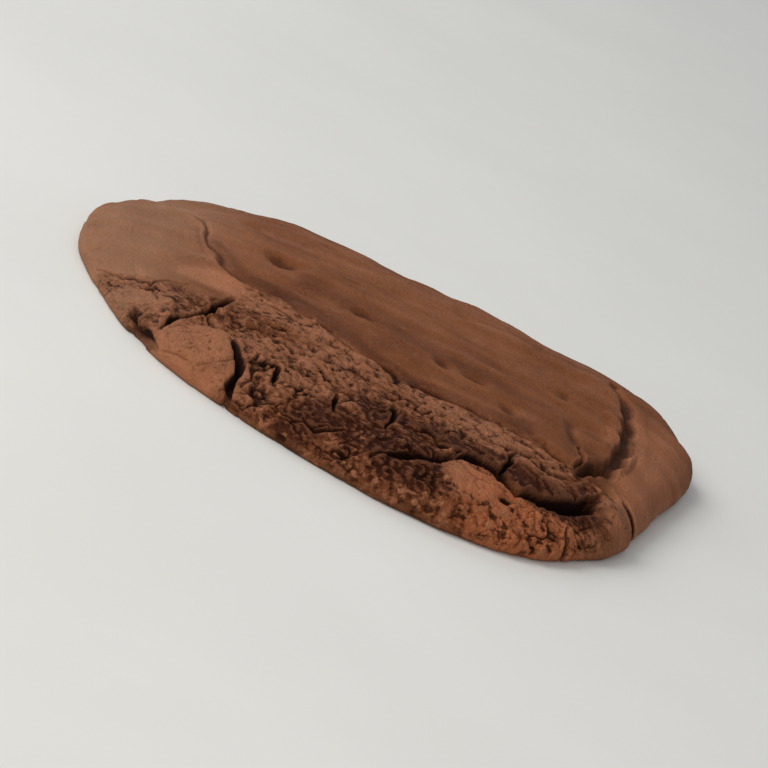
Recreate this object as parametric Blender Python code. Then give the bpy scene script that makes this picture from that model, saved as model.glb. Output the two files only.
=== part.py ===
"""A round chocolate cookie, lying flat as it was baked.

One solid: a low cake, smooth and softly wavy on the far half of its top, that slopes to a thin
rim on the near side, where the crust has split into plates and crumbs. The form is a base shape
of named sizes, and relief that stands out of it or is cut into it. The origin is under the
middle, on the floor. The +X side has the curved groove, and the -Y side is the crumbly one.
"""

import itertools
import math

import bpy
import numpy as np

MM = 0.001

# Base shape: heights, and widths as shares of the radius
MEAN_RADIUS = 49.6 * MM
SHOULDER_HEIGHT = 6.9 * MM
DOME_HEIGHT = 1.6 * MM
WIDEST_HEIGHT = 1.5 * MM
SHOULDER = 0.60
FOOT = 0.985
TILT = 0.022
SWELL_PLACE = (34 * MM, 24 * MM)
SWELL_RADIUS = 18 * MM
SWELL_HEIGHT = 1.2 * MM
# The outline's waves: turns round the rim, share of the radius, and the angle of a crest
OUTLINE_WAVES = ((2, 0.0226, -66), (3, 0.0500, 40), (4, 0.0300, 33), (5, 0.0120, 24), (9, 0.004, 10))
# Bulges of the outline: angle, half width in degrees, and how far they stand out
BULGES = (
    (34, 17, 1.9 * MM), (-60, 11, 1.3 * MM), (-14, 7, 1.1 * MM), (137, 13, 1.3 * MM), (-134, 12, 1.1 * MM),
    (-168, 13, 0.9 * MM), (-35, 12, 0.9 * MM),
)
# Broad waves of the crust: size across and height
WAVES = ((30 * MM, 0.55 * MM), (13 * MM, 0.5 * MM), (6.5 * MM, 0.25 * MM))

# Where the smooth skin dips under a low lip, and where the crumbly band begins, in millimetres
FOLD_LINE = (
    (-60, 40), (-34, 12), (-31, 1), (-26, -7), (-16, -11), (-9, -14), (-4, -18), (20, -21), (60, -24),
)
CRUMB_LINE = (
    (-60, -15), (-43, -19), (-38, -21), (-35, -22), (-31, -19), (-27, -22), (-23, -19), (-18, -24),
    (-8, -25), (10, -26), (21, -26), (30, -26), (34, -29), (38, -34), (44, -38), (60, -44),
)
FOLD_DROP = 0.7 * MM
FOLD_LIP = 0.3 * MM
FOLD_WIDTH = 1.5 * MM
CRUMB_DROP = 0.45 * MM
LINE_WANDER = 2.2 * MM
LINE_WANDER_SIZE = 5.5 * MM
RIM_ROUGHNESS = 0.35
# The most that the relief takes away: a share of the height on top, and a depth at the side
DEEPEST_SHARE = 0.68
DEEPEST_SIDE = 2.2 * MM

# Wrinkles of the smooth skin, longer along X than along Y
WRINKLE_SIZE = (15 * MM, 4.5 * MM, 15 * MM)
WRINKLE_HEIGHT = 0.28 * MM

# Long cracks: route in millimetres, half width, depth, and how far the outer side drops
CRACKS = {
    "groove": (
        ((32, -23), (33, -19), (35, -14), (37, -8), (37.7, 0), (37.5, 10), (36, 20), (33, 29)), 1.4, 1.9, 0.7,
    ),
    "groove_low": (((31.5, -22), (33, -18.5), (34.6, -14.5), (36, -10.5)), 2.2, 1.2, 0.4),
    "groove_side": (((31, -11), (31.6, -17), (30.8, -22)), 0.8, 1.2, 0.0),
    "mouth": (((24.6, -38.8), (28, -37), (31, -34.2), (33.2, -31.2), (35, -28), (36.3, -24)), 2.3, 3.9, 0.9),
    "mouth_end": (
        ((12.5, -41), (14.7, -39), (17.5, -37.4), (20.6, -36.8), (23.5, -37.8), (25.5, -38.4)), 1.4, 2.8, 0.5,
    ),
    "plate_side": (((22.4, -27), (22, -30), (22, -33.5), (20.6, -37)), 0.8, 1.7, 0.0),
    "upper_edge": (((22.4, -27), (25, -26.2), (28, -27), (32, -26)), 0.7, 1.0, 0.5),
    "valley": (((15, -36.5), (14, -39.5), (12.5, -42.5), (10, -44.6), (7.5, -46.5), (4, -49)), 1.6, 1.9, 0.2),
    "near_left": (((-23.2, -15.5), (-23.8, -19.5), (-25.4, -24), (-26.4, -27.5), (-28, -30)), 1.3, 2.5, 0.3),
    "near_left_end": (((-28, -30), (-29.2, -32), (-30.4, -35.5)), 1.2, 2.2, 0.0),
    "lobe_side": (
        ((-25.2, -27.5), (-23.6, -30.8), (-20.8, -33.4), (-18.6, -37), (-18, -41), (-17.6, -45), (-16, -50)),
        1.3, 2.7, 0.2,
    ),
    "lobe_branch": (((-18.4, -38.3), (-15.2, -37.2), (-13, -36.4), (-12.2, -41.5)), 0.8, 1.6, 0.0),
    "left_rim": (((-36.2, -29.5), (-34.3, -33), (-32, -36), (-29.3, -39.5)), 0.9, 1.7, 0.5),
    "left_line": (
        ((-44, -18.5), (-40, -20.5), (-37.6, -20), (-35.2, -21.7), (-33, -19.6), (-30.6, -18)), 0.8, 1.0, 0.4,
    ),
    "left_side": (((-34.3, -22.5), (-33.7, -25), (-32.6, -27.6)), 0.6, 0.7, 0.0),
    "chain": (((-9, -28.6), (-7.6, -31.4), (-5.8, -33.3), (-1.6, -35.2)), 0.7, 1.3, 0.2),
    "middle": (((-3.7, -36), (-3.5, -39), (-3.1, -42.5)), 0.8, 1.6, 0.0),
    "pits_left": (((-14.4, -26.8), (-12.4, -29.2), (-10.6, -27.8)), 0.9, 1.3, 0.2),
    "right_chain": (((2.7, -28), (4.2, -31), (4.7, -35), (4.9, -41)), 0.7, 1.4, 0.0),
    "small_pit": (((10, -27.3), (9.2, -30)), 1.0, 1.4, 0.0),
    "pocket": (((6.5, -35), (9.4, -35.6), (11.2, -37.5), (14.8, -36.6)), 1.0, 1.9, 0.5),
    "small_hole": (((21.8, -44.2), (25, -41.4)), 1.3, 1.6, 0.0),
    "near_pits": (((-6.5, -46), (-4, -47.6), (-1.5, -46)), 0.8, 1.2, 0.0),
    "notch": (((33, -38), (34.5, -42), (36, -46)), 0.8, 1.6, 0.0),
    "right_rim": (((38.6, -17.5), (41.5, -20.3), (43.8, -20.3), (46.5, -20)), 1.1, 1.6, 0.0),
    "far_arc": (((27, 37), (16, 42), (2, 42), (-10, 41)), 0.7, 0.7, 0.3),
    "far_rim": (((-30, 34), (-34, 41), (-38, 50)), 0.8, 1.1, 0.0),
    "back_rim": (((8, 39), (9, 45), (7, 54)), 0.8, 1.1, 0.0),
}
# Where a crack's walls begin and end, as shares of its half width, and how it wanders
CRACK_WALL = (0.5, 1.15)
CRACK_WIDTH = 1.0
CRACK_WANDER = ((4.2 * MM, 0.75 * MM), (2.2 * MM, 0.30 * MM))
LIP_HEIGHT = 0.35 * MM

# Lumps of crust: place, radius along X and Y in millimetres, turn in degrees, and height
LUMPS = (
    (-25, -38, 6.5, 6.5, 25, 0.7), (18.5, -43, 5.5, 4.0, 20, 0.7), (27, -31, 5.2, 3.8, 30, 0.6),
    (-33, -25, 6.0, 3.6, -35, 0.3), (-12, -43, 5.0, 4.0, 0, 0.3), (39.5, -25, 4.0, 8.0, -25, 0.4),
    (8, -40, 3.0, 3.4, 0, 0.4), (31, -40, 6.0, 3.0, 40, 0.4),
)
# Dimples in the smooth skin: place, radius along X and Y in millimetres, and depth
DIMPLES = (
    (-19.5, 9.5, 3.0, 3.4, 1.2), (-5, 0.8, 2.0, 2.6, 0.9), (-3.6, -2.6, 1.6, 1.8, 0.5),
    (7.6, -5.5, 1.8, 2.4, 0.8), (13.4, -5.5, 1.6, 2.4, 0.7), (19, -12, 2.0, 2.4, 0.7),
    (-30.5, -9, 2.0, 2.4, 0.6), (8, 24, 3.0, 2.4, 0.4), (-14, 30, 2.6, 2.4, 0.4), (26, 8, 2.4, 3.0, 0.4),
    (-27, 24, 2.2, 2.2, 0.4), (20, 33, 2.4, 2.0, 0.4), (29, -7, 1.8, 6.5, 0.5), (-9, 14, 4.0, 2.0, 0.4),
    (-8.5, -19.5, 1.8, 1.6, 0.6), (-20, -25.3, 1.8, 1.2, 0.6), (25, -21.8, 1.6, 1.6, 0.6),
    (1.5, -18.5, 4.0, 1.6, 0.6), (15.5, -21.5, 3.0, 1.4, 0.5), (3, 10, 3.0, 2.0, 0.3),
)

# Plates and crumbs of the split crust: size, gap, depth of the gap, and unevenness of the tops
PLATE_SIZE = 8.5 * MM
PLATE_GAP = 0.75 * MM
PLATE_DEPTH = 1.5 * MM
PLATE_LIFT = 0.9 * MM
CRUMB_SIZE = 3.6 * MM
CRUMB_GAP = 0.7 * MM
CRUMB_DEPTH = 0.6 * MM
CRUMB_LIFT = 0.55 * MM
SMOOTH_SHARE = 0.10
WARP_SIZE = 7 * MM
WARP = 2.2 * MM

# Fineness of the mesh before it is thinned out, and the share of its faces that the relief needs
GRID = 160
GRID_SHOULDER = 0.5
FOOT_RINGS = 3
KEPT_SHARE = 0.101
# Points lower than this belong to the flat underside
NEARLY_FLAT = 0.03 * MM

CORNERS = tuple(itertools.product((0, 1), repeat=3))
NEIGHBOURS = tuple(itertools.product((-1, 0, 1), repeat=3))
SLOPES = np.array([step for step in NEIGHBOURS if np.abs(step).sum() == 2]
                  + [(1, 1, 0), (-1, 1, 0), (0, -1, 1), (0, -1, -1)])


def smoothstep(low, high, value):
    """0 below low, 1 above high and a smooth rise between them."""
    t = np.clip((value - low) / (high - low), 0, 1)
    return t * t * (3 - 2 * t)


def hashed(cell, seed):
    """A well mixed 32-bit number for each cell of whole numbers."""
    mixed = (cell @ np.array([73856093, 19349663, 83492791]) + seed * 40503) & 0xFFFFFFFF
    mixed = ((mixed ^ (mixed >> 15)) * 0x2C1B3C6D) & 0xFFFFFFFF
    mixed = ((mixed ^ (mixed >> 12)) * 0x297A2D39) & 0xFFFFFFFF
    return mixed ^ (mixed >> 15)


def noise_at(points, size, seed):
    """Smooth noise from about -1 to 1, with bumps of that size."""
    at = points / size
    low = np.floor(at).astype(np.int64)
    part = at - low
    ease = part**3 * (part * (part * 6 - 15) + 10)
    total = np.zeros(len(points))
    for corner in CORNERS:
        slope = SLOPES[hashed(low + corner, seed) & 15]
        weight = np.where(corner, ease, 1 - ease).prod(axis=1)
        total += weight * (slope * (part - corner)).sum(axis=1)
    return 1.4 * total


def cells_at(points, size, seed):
    """For uneven cells of that size: the distance to the cell's border, and a level from -1 to 1."""
    at = points / size
    low = np.floor(at).astype(np.int64)
    first = np.full(len(points), np.inf)
    second = first.copy()
    level = np.zeros(len(points))
    for step in NEIGHBOURS:
        mixed = hashed(low + step, seed)
        offset = np.stack([mixed & 1023, (mixed >> 10) & 1023, (mixed >> 20) & 1023], axis=1) / 1023
        away = np.sqrt(((low + step + offset - at) ** 2).sum(axis=1))
        nearer = away < first
        second = np.where(nearer, first, np.minimum(second, away))
        level = np.where(nearer, (mixed >> 7 & 255) / 127.5 - 1, level)
        first = np.where(nearer, away, first)
    return (second - first) / 2 * size, level


def outline(angle):
    """The cookie's radius in the direction of each angle."""
    waves = sum(share * np.cos(turns * (angle - math.radians(crest)))
                for turns, share, crest in OUTLINE_WAVES)
    radius = MEAN_RADIUS * (1 + waves)
    for middle, wide, far in BULGES:
        away = (angle - math.radians(middle) + math.pi) % (2 * math.pi) - math.pi
        radius = radius + far * np.exp(-(away / math.radians(wide)) ** 2)
    return radius


def square_to_disc(count):
    """A square grid of points bent to fill the unit disc, their indices, and its rim in order."""
    side = np.linspace(-1, 1, count + 1)
    a, b = np.meshgrid(side, side)
    wide = np.abs(a) > np.abs(b)
    radius = np.where(wide, a, b)
    safe = np.where(radius == 0, 1, radius)
    turn = np.where(wide, math.pi / 4 * b / safe, math.pi / 2 - math.pi / 4 * a / safe)
    index = np.arange((count + 1) ** 2).reshape(count + 1, count + 1)
    rim = np.concatenate([index[0, :-1], index[:-1, -1], index[-1, :0:-1], index[:0:-1, 0]])
    x = (radius * np.cos(turn)).ravel()
    y = (radius * np.sin(turn)).ravel()
    return np.hypot(x, y), np.arctan2(y, x), index, rim


def crust_profile(share):
    """For each share of the way out over the crust: share of the radius, height, and how far
    the surface leans outward (0 faces up, 1 faces sideways)."""
    turn = math.pi / 2 * np.clip((share - GRID_SHOULDER) / (1 - GRID_SHOULDER), 0, 1)
    reach = np.where(share < GRID_SHOULDER, SHOULDER * share / GRID_SHOULDER,
                     SHOULDER + (1 - SHOULDER) * np.sin(turn))
    drop = SHOULDER_HEIGHT - WIDEST_HEIGHT
    height = WIDEST_HEIGHT + drop * np.cos(turn) + DOME_HEIGHT * (1 - reach**2) ** 2
    across = (1 - SHOULDER) * MEAN_RADIUS
    lean = drop * np.sin(turn) / np.hypot(drop * np.sin(turn), across * np.cos(turn))
    return reach, height, lean


def base_surface(grid, foot_rings):
    """Points, faces, and for each point how far it leans outward and how much of the relief
    it takes (0 on the underside)."""
    share, angle, index, rim = square_to_disc(grid)
    rim_angle = angle[rim]

    def placed(reach, height, angles):
        across = reach * outline(angles)
        return np.stack([across * np.cos(angles), across * np.sin(angles), height + 0 * angles], axis=1)

    reach, height, leaning = crust_profile(share)
    points = [placed(reach, height, angle)]
    lean = [leaning]
    relief = [1 - 0.3 * leaning**2]
    rings = [rim]
    for step in range(1, foot_rings):
        turn = math.pi / 2 * step / foot_rings
        tucked = 1 - (1 - FOOT) * (1 - math.cos(turn))
        rings.append(sum(len(p) for p in points) + np.arange(len(rim)))
        points.append(placed(tucked, WIDEST_HEIGHT * (1 - math.sin(turn)), rim_angle))
        lean.append(np.ones(len(rim)))
        relief.append(np.full(len(rim), 0.7 - 0.3 * math.sin(turn)))
    under = sum(len(p) for p in points)
    rings.append(under + rim)
    points.append(placed(FOOT * share, 0.0, angle))
    lean.append(np.ones(len(share)))
    relief.append(0.4 * smoothstep(0.86, 1.0, share))

    top = np.stack([index[:-1, :-1], index[:-1, 1:], index[1:, 1:], index[1:, :-1]], axis=-1).reshape(-1, 4)
    faces = [top, top[:, ::-1] + under]
    for upper, lower in zip(rings[:-1], rings[1:]):
        faces.append(np.stack([upper, lower, np.roll(lower, -1), np.roll(upper, -1)], axis=1))
    return np.concatenate(points), np.concatenate(faces), np.concatenate(lean), np.concatenate(relief)


def distance_to_route(x, y, route):
    """Distance in plan to a route, and the share of its length at the nearest place."""
    best = np.full(len(x), np.inf)
    along = np.zeros(len(x))
    lengths = [math.dist(a, b) for a, b in zip(route, route[1:])]
    done = 0.0
    for (ax, ay), (bx, by), length in zip(route, route[1:], lengths):
        t = np.clip(((x - ax) * (bx - ax) + (y - ay) * (by - ay)) / length**2, 0, 1)
        away = np.hypot(x - ax - t * (bx - ax), y - ay - t * (by - ay))
        nearer = away < best
        best = np.where(nearer, away, best)
        along = np.where(nearer, (done + t * length) / sum(lengths), along)
        done += length
    return best, along


def beyond_line(points, line, ragged):
    """Distance in plan on the near side of a line that runs along X."""
    across, back = MM * np.array(line).T
    return np.interp(points[:, 0], across, back) - points[:, 1] + LINE_WANDER * ragged


def roughness_of(points, ragged):
    """0 on the smooth skin, 1 in the crumbly band, and part way round the rest of the rim."""
    band = smoothstep(-1.0 * MM, 2.0 * MM, beyond_line(points, CRUMB_LINE, ragged))
    share = np.hypot(points[:, 0], points[:, 1]) / outline(np.arctan2(points[:, 1], points[:, 0]))
    return np.maximum(band, RIM_ROUGHNESS * smoothstep(0.90, 1.0, share))


def across_oval(x, y, place, radii, turn=0):
    """Distance from an oval's centre, 1 at its border."""
    c = math.cos(math.radians(turn))
    s = math.sin(math.radians(turn))
    dx = x - place[0] * MM
    dy = y - place[1] * MM
    return np.hypot((c * dx + s * dy) / (radii[0] * MM), (c * dy - s * dx) / (radii[1] * MM))


def crack_relief(x, y, wander):
    """The long cracks, with a raised lip along each and a drop to the outer side of it."""
    height = np.zeros(len(x))
    radius = np.hypot(x, y)
    for route, half_width, depth, drop in CRACKS.values():
        route = [(px * MM, py * MM) for px, py in route]
        away, along = distance_to_route(x + wander[0], y + wander[1], route)
        taper = np.sqrt(np.sin(math.pi * np.clip(along, 0.04, 0.96)))
        t = away / (CRACK_WIDTH * half_width * MM * (0.35 + 0.65 * taper))
        middle = sum(math.hypot(*p) for p in route) / len(route)
        outer = smoothstep(-0.5 * MM, 0.5 * MM, radius - middle) * (1 - smoothstep(0, 8 * MM, away))
        height -= depth * MM * taper * (1 - smoothstep(*CRACK_WALL, t))
        height += LIP_HEIGHT * taper * np.exp(-((t - 1.7) / 0.5) ** 2)
        height -= drop * MM * taper * outer
    return height


def relief_height(points):
    """How far the crust stands proud of the base surface at each point."""
    x, y = points[:, 0], points[:, 1]
    ragged = noise_at(points, LINE_WANDER_SIZE, 5)
    rough = roughness_of(points, ragged)
    height = sum(tall * noise_at(points, size, n) for n, (size, tall) in enumerate(WAVES))
    height += TILT * x
    height += SWELL_HEIGHT * np.exp(-np.hypot(x - SWELL_PLACE[0], y - SWELL_PLACE[1]) ** 2 / SWELL_RADIUS**2)
    height += (1 - rough) * WRINKLE_HEIGHT * noise_at(points, WRINKLE_SIZE, 8)
    fold = beyond_line(points, FOLD_LINE, ragged)
    height -= FOLD_DROP * np.exp(-(fold / FOLD_WIDTH + 1) ** 2)
    height += FOLD_LIP * np.exp(-(fold / FOLD_WIDTH - 0.8) ** 2)
    crumb = beyond_line(points, CRUMB_LINE, ragged)
    height -= CRUMB_DROP * smoothstep(0, 1.2 * MM, crumb) * (1 - smoothstep(8 * MM, 16 * MM, crumb))

    warp = WARP * np.stack([noise_at(points, WARP_SIZE, 11), noise_at(points, WARP_SIZE, 12), 0 * x], axis=1)
    share = SMOOTH_SHARE + (1 - SMOOTH_SHARE) * rough
    broken = np.clip(0.6 + 0.9 * noise_at(points, 18 * MM, 13), 0, 1)
    border, level = cells_at(points + warp, PLATE_SIZE, 14)
    open_gap = 1 - smoothstep(0.2 * PLATE_GAP, PLATE_GAP, border)
    height += share * (PLATE_LIFT * level * smoothstep(0, 1.2 * MM, border) - PLATE_DEPTH * broken * open_gap)
    border, level = cells_at(points + 0.6 * warp, CRUMB_SIZE, 15)
    open_gap = 1 - smoothstep(0.2 * CRUMB_GAP, CRUMB_GAP, border)
    height += rough * (CRUMB_LIFT * level * smoothstep(0, 0.6 * MM, border) - CRUMB_DEPTH * broken * open_gap)

    for px, py, rx, ry, turn, tall in LUMPS:
        away = across_oval(x + warp[:, 0], y + warp[:, 1], (px, py), (rx, ry), turn)
        height += tall * MM * (1 - smoothstep(0.55, 1.05, away))
    for px, py, rx, ry, depth in DIMPLES:
        away = across_oval(x + 0.6 * warp[:, 0], y, (px, py), (rx, ry))
        height -= depth * MM * (1 - smoothstep(0.1, 1.1, away))
    wander = sum(reach * np.stack([noise_at(points, size, 21), noise_at(points, size, 22)])
                 for size, reach in CRACK_WANDER)
    return height + crack_relief(x, y, wander)


def cookie():
    points, faces, lean, relief = base_surface(GRID, FOOT_RINGS)
    height = relief_height(points) * relief
    height = np.maximum(height, -DEEPEST_SHARE * (1 - lean) * points[:, 2] - DEEPEST_SIDE * lean)
    radius = np.maximum(np.hypot(points[:, 0], points[:, 1]), 1e-9)
    points[:, 0] += height * lean * points[:, 0] / radius
    points[:, 1] += height * lean * points[:, 1] / radius
    points[:, 2] += height * np.sqrt(1 - lean**2)
    points[:, :2] -= (points[:, :2].min(axis=0) + points[:, :2].max(axis=0)) / 2
    mesh = bpy.data.meshes.new("cookie")
    mesh.from_pydata(points.tolist(), [], faces.tolist())
    mesh.update()
    mesh.shade_smooth()
    body = bpy.data.objects.new("cookie", mesh)
    bpy.context.scene.collection.objects.link(body)
    thin_out(body)
    body.data.materials.append(crust_material())
    return body


def thin_out(body):
    """Keeps only the points that the relief needs, and sets the underside's exactly on the floor."""
    thinner = body.modifiers.new("Thin out", "DECIMATE")
    thinner.ratio = KEPT_SHARE
    full = body.data
    body.data = bpy.data.meshes.new_from_object(body.evaluated_get(bpy.context.evaluated_depsgraph_get()))
    body.modifiers.clear()
    bpy.data.meshes.remove(full)
    for vertex in body.data.vertices:
        if vertex.co.z < NEARLY_FLAT:
            vertex.co.z = 0
    body.data.update()


def crust_material():
    """Matt cocoa brown."""
    material = bpy.data.materials.new("crust")
    material.use_nodes = True
    shader = material.node_tree.nodes["Principled BSDF"]
    shader.inputs["Base Color"].default_value = (0.22, 0.105, 0.056, 1)
    shader.inputs["Roughness"].default_value = 0.85
    shader.inputs["Metallic"].default_value = 0
    return material


def clear_scene():
    for obj in list(bpy.data.objects):
        bpy.data.objects.remove(obj)


clear_scene()
cookie()
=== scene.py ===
"""A round chocolate cookie on a pale floor, as it shows in the photograph.

The crust's form is the solid's own, made of the same named sizes, but finer: pleats, chips, slits,
crumbs, pores and undercut lips are added. All of it is one closed mesh.
"""
import itertools
import math

import bpy
import numpy as np
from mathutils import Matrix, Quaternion, Vector


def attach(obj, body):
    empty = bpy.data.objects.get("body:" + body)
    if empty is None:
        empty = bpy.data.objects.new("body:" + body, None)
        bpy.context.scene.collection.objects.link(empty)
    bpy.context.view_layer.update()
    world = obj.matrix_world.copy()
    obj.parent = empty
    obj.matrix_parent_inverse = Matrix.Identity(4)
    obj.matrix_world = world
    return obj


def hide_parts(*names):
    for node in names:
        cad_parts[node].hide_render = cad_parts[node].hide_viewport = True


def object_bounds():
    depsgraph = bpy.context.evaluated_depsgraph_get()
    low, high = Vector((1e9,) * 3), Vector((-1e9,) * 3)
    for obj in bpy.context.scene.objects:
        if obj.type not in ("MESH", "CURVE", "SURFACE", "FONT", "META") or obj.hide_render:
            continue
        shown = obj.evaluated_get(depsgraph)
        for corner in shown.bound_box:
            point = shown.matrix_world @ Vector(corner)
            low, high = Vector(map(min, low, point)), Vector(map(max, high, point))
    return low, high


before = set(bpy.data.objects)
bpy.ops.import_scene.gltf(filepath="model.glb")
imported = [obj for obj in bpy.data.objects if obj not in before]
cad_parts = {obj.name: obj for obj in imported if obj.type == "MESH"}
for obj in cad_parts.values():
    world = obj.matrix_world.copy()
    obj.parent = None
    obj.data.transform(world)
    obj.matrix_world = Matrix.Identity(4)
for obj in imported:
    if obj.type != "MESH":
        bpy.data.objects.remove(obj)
cad_low, cad_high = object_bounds()

MM = 0.001

# Base shape: heights, and widths as shares of the radius
MEAN_RADIUS = 49.6 * MM
SHOULDER_HEIGHT = 6.9 * MM
DOME_HEIGHT = 1.6 * MM
WIDEST_HEIGHT = 1.5 * MM
SHOULDER = 0.60
FOOT = 0.985
TILT = 0.022
SWELL_PLACE = (34 * MM, 24 * MM)
SWELL_RADIUS = 18 * MM
SWELL_HEIGHT = 1.2 * MM
# The outline's waves: turns round the rim, share of the radius, and the angle of a crest
OUTLINE_WAVES = ((2, 0.0226, -66), (3, 0.0500, 40), (4, 0.0300, 33), (5, 0.0120, 24), (9, 0.004, 10))
# Bulges of the outline: angle, half width in degrees, and how far they stand out
BULGES = (
    (34, 17, 1.9 * MM), (-60, 11, 1.3 * MM), (-14, 7, 1.1 * MM), (137, 13, 1.3 * MM), (-134, 12, 1.1 * MM),
    (-168, 13, 0.9 * MM), (-35, 12, 0.9 * MM),
)
# Broad waves of the crust: size across and height
WAVES = ((30 * MM, 0.55 * MM), (13 * MM, 0.5 * MM), (6.5 * MM, 0.25 * MM))

# Where the smooth skin dips under a low lip, and where the crumbly band begins, in millimetres
FOLD_LINE = (
    (-60, 40), (-34, 12), (-31, 1), (-26, -7), (-16, -11), (-9, -14), (-4, -18), (20, -21), (60, -24),
)
CRUMB_LINE = (
    (-60, -15), (-43, -19), (-38, -21), (-35, -22), (-31, -19), (-27, -22), (-23, -19), (-18, -24),
    (-8, -25), (10, -26), (21, -26), (30, -26), (34, -29), (38, -34), (44, -38), (60, -44),
)
# Depth of the fold, height of the lip over it, its half width, and drop behind the crumb line
FOLD_DROP = 0.4 * MM
FOLD_LIP = 0.3 * MM
FOLD_WIDTH = 1.5 * MM
CRUMB_DROP = 0.25 * MM
# Reach, size and seed of the two lines' wandering, and roughness of the rest of the rim
LINE_WANDER = 2.2 * MM
LINE_WANDER_SIZE = 5.5 * MM
LINE_WANDER_SEED = 5
RIM_ROUGHNESS = 0.2
# The most that the relief takes away: a share of the height on top, and a depth at the side
DEEPEST_SHARE = 0.68
DEEPEST_SIDE = 2.2 * MM

# Wrinkles of the smooth skin, longer along X than along Y
WRINKLE_SIZE = (15 * MM, 4.5 * MM, 15 * MM)
WRINKLE_HEIGHT = 0.28 * MM

# Long cracks: route in millimetres, half width, depth, and how far the outer side drops
CRACKS = {
    "groove": (
        ((32, -23), (33, -19), (35, -14), (37, -8), (37.7, 0), (37.5, 10), (36, 20), (33, 29)), 3.0, 1.6, 0.7,
    ),
    "groove_low": (((31.5, -22), (33, -18.5), (34.6, -14.5), (36, -10.5)), 2.2, 1.2, 0.4),
    "groove_side": (((31, -11), (31.6, -17), (30.8, -22)), 0.8, 1.2, 0.0),
    "mouth": (((24.6, -38.8), (28, -37), (31, -34.2), (33.2, -31.2), (35, -28), (36.3, -24)), 2.3, 3.9, 0.9),
    "mouth_end": (
        ((12.5, -41), (14.7, -39), (17.5, -37.4), (20.6, -36.8), (23.5, -37.8), (25.5, -38.4)), 2.1, 2.8, 0.5,
    ),
    "plate_side": (((22.4, -27), (22, -30), (22, -33.5), (20.6, -37)), 0.8, 1.7, 0.0),
    "upper_edge": (((22.4, -27), (25, -26.2), (28, -27), (32, -26)), 0.7, 1.0, 0.5),
    "valley": (((15, -36.5), (14, -39.5), (12.5, -42.5), (10, -44.6), (7.5, -46.5), (4, -49)), 1.6, 1.9, 0.2),
    "near_left": (((-23.2, -15.5), (-23.8, -19.5), (-25.4, -24), (-26.4, -27.5), (-28, -30)), 1.3, 2.5, 0.3),
    "near_left_end": (((-28, -30), (-29.2, -32), (-30.4, -35.5)), 1.2, 2.2, 0.0),
    "lobe_side": (
        ((-25.2, -27.5), (-23.6, -30.8), (-20.8, -33.4), (-18.6, -37), (-18, -41), (-17.6, -45), (-16, -50)),
        1.3, 2.7, 0.2,
    ),
    "lobe_branch": (((-18.4, -38.3), (-15.2, -37.2), (-13, -36.4), (-12.2, -41.5)), 0.8, 1.6, 0.0),
    "left_rim": (((-36.2, -29.5), (-34.3, -33), (-32, -36), (-29.3, -39.5)), 0.9, 1.7, 0.5),
    "left_line": (
        ((-44, -18.5), (-40, -20.5), (-37.6, -20), (-35.2, -21.7), (-33, -19.6), (-30.6, -18)), 0.8, 1.0, 0.4,
    ),
    "left_side": (((-34.3, -22.5), (-33.7, -25), (-32.6, -27.6)), 0.6, 0.7, 0.0),
    "chain": (((-9, -28.6), (-7.6, -31.4), (-5.8, -33.3), (-1.6, -35.2)), 0.7, 1.3, 0.2),
    "middle": (((-3.7, -36), (-3.5, -39), (-3.1, -42.5)), 0.8, 1.6, 0.0),
    "pits_left": (((-14.4, -26.8), (-12.4, -29.2), (-10.6, -27.8)), 0.9, 1.3, 0.2),
    "right_chain": (((2.7, -28), (4.2, -31), (4.7, -35), (4.9, -41)), 0.7, 1.4, 0.0),
    "small_pit": (((10, -27.3), (9.2, -30)), 1.0, 1.4, 0.0),
    "pocket": (((6.5, -35), (9.4, -35.6), (11.2, -37.5), (14.8, -36.6)), 1.0, 1.9, 0.5),
    "small_hole": (((21.8, -44.2), (25, -41.4)), 1.3, 1.6, 0.0),
    "near_pits": (((-6.5, -46), (-4, -47.6), (-1.5, -46)), 0.8, 1.2, 0.0),
    "notch": (((33, -38), (34.5, -42), (36, -46)), 0.8, 1.6, 0.0),
    "right_rim": (((38.6, -17.5), (41.5, -20.3), (43.8, -20.3), (46.5, -20)), 1.9, 1.8, 0.0),
    "far_arc": (((27, 37), (16, 42), (2, 42), (-10, 41)), 0.7, 0.7, 0.3),
    "far_rim": (((-30, 34), (-34, 41), (-38, 50)), 0.8, 1.1, 0.0),
    "back_rim": (((8, 39), (9, 45), (7, 54)), 0.8, 1.1, 0.0),
}
# Where a crack's walls begin and end, as shares of its half width, how wide the cracks are beside the
# half widths above, size and reach of their wandering, and height of the lips along them
CRACK_WALL = (0.15, 1.10)
CRACK_WIDTH = 0.6
CRACK_WANDER = ((4.2 * MM, 0.75 * MM), (2.2 * MM, 0.30 * MM))
LIP_HEIGHT = 0.15 * MM

# Lumps of crust: place, radius along X and Y in millimetres, turn in degrees, and height
LUMPS = (
    (-25, -38, 6.5, 6.5, 25, 0.7), (18.5, -43, 5.5, 4.0, 20, 0.7), (27, -31, 5.2, 3.8, 30, 0.6),
    (-33, -25, 6.0, 3.6, -35, 0.3), (-12, -43, 5.0, 4.0, 0, 0.3), (39.5, -25, 4.0, 8.0, -25, 0.4),
    (8, -40, 3.0, 3.4, 0, 0.4), (31, -40, 6.0, 3.0, 40, 0.4),
)
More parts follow.
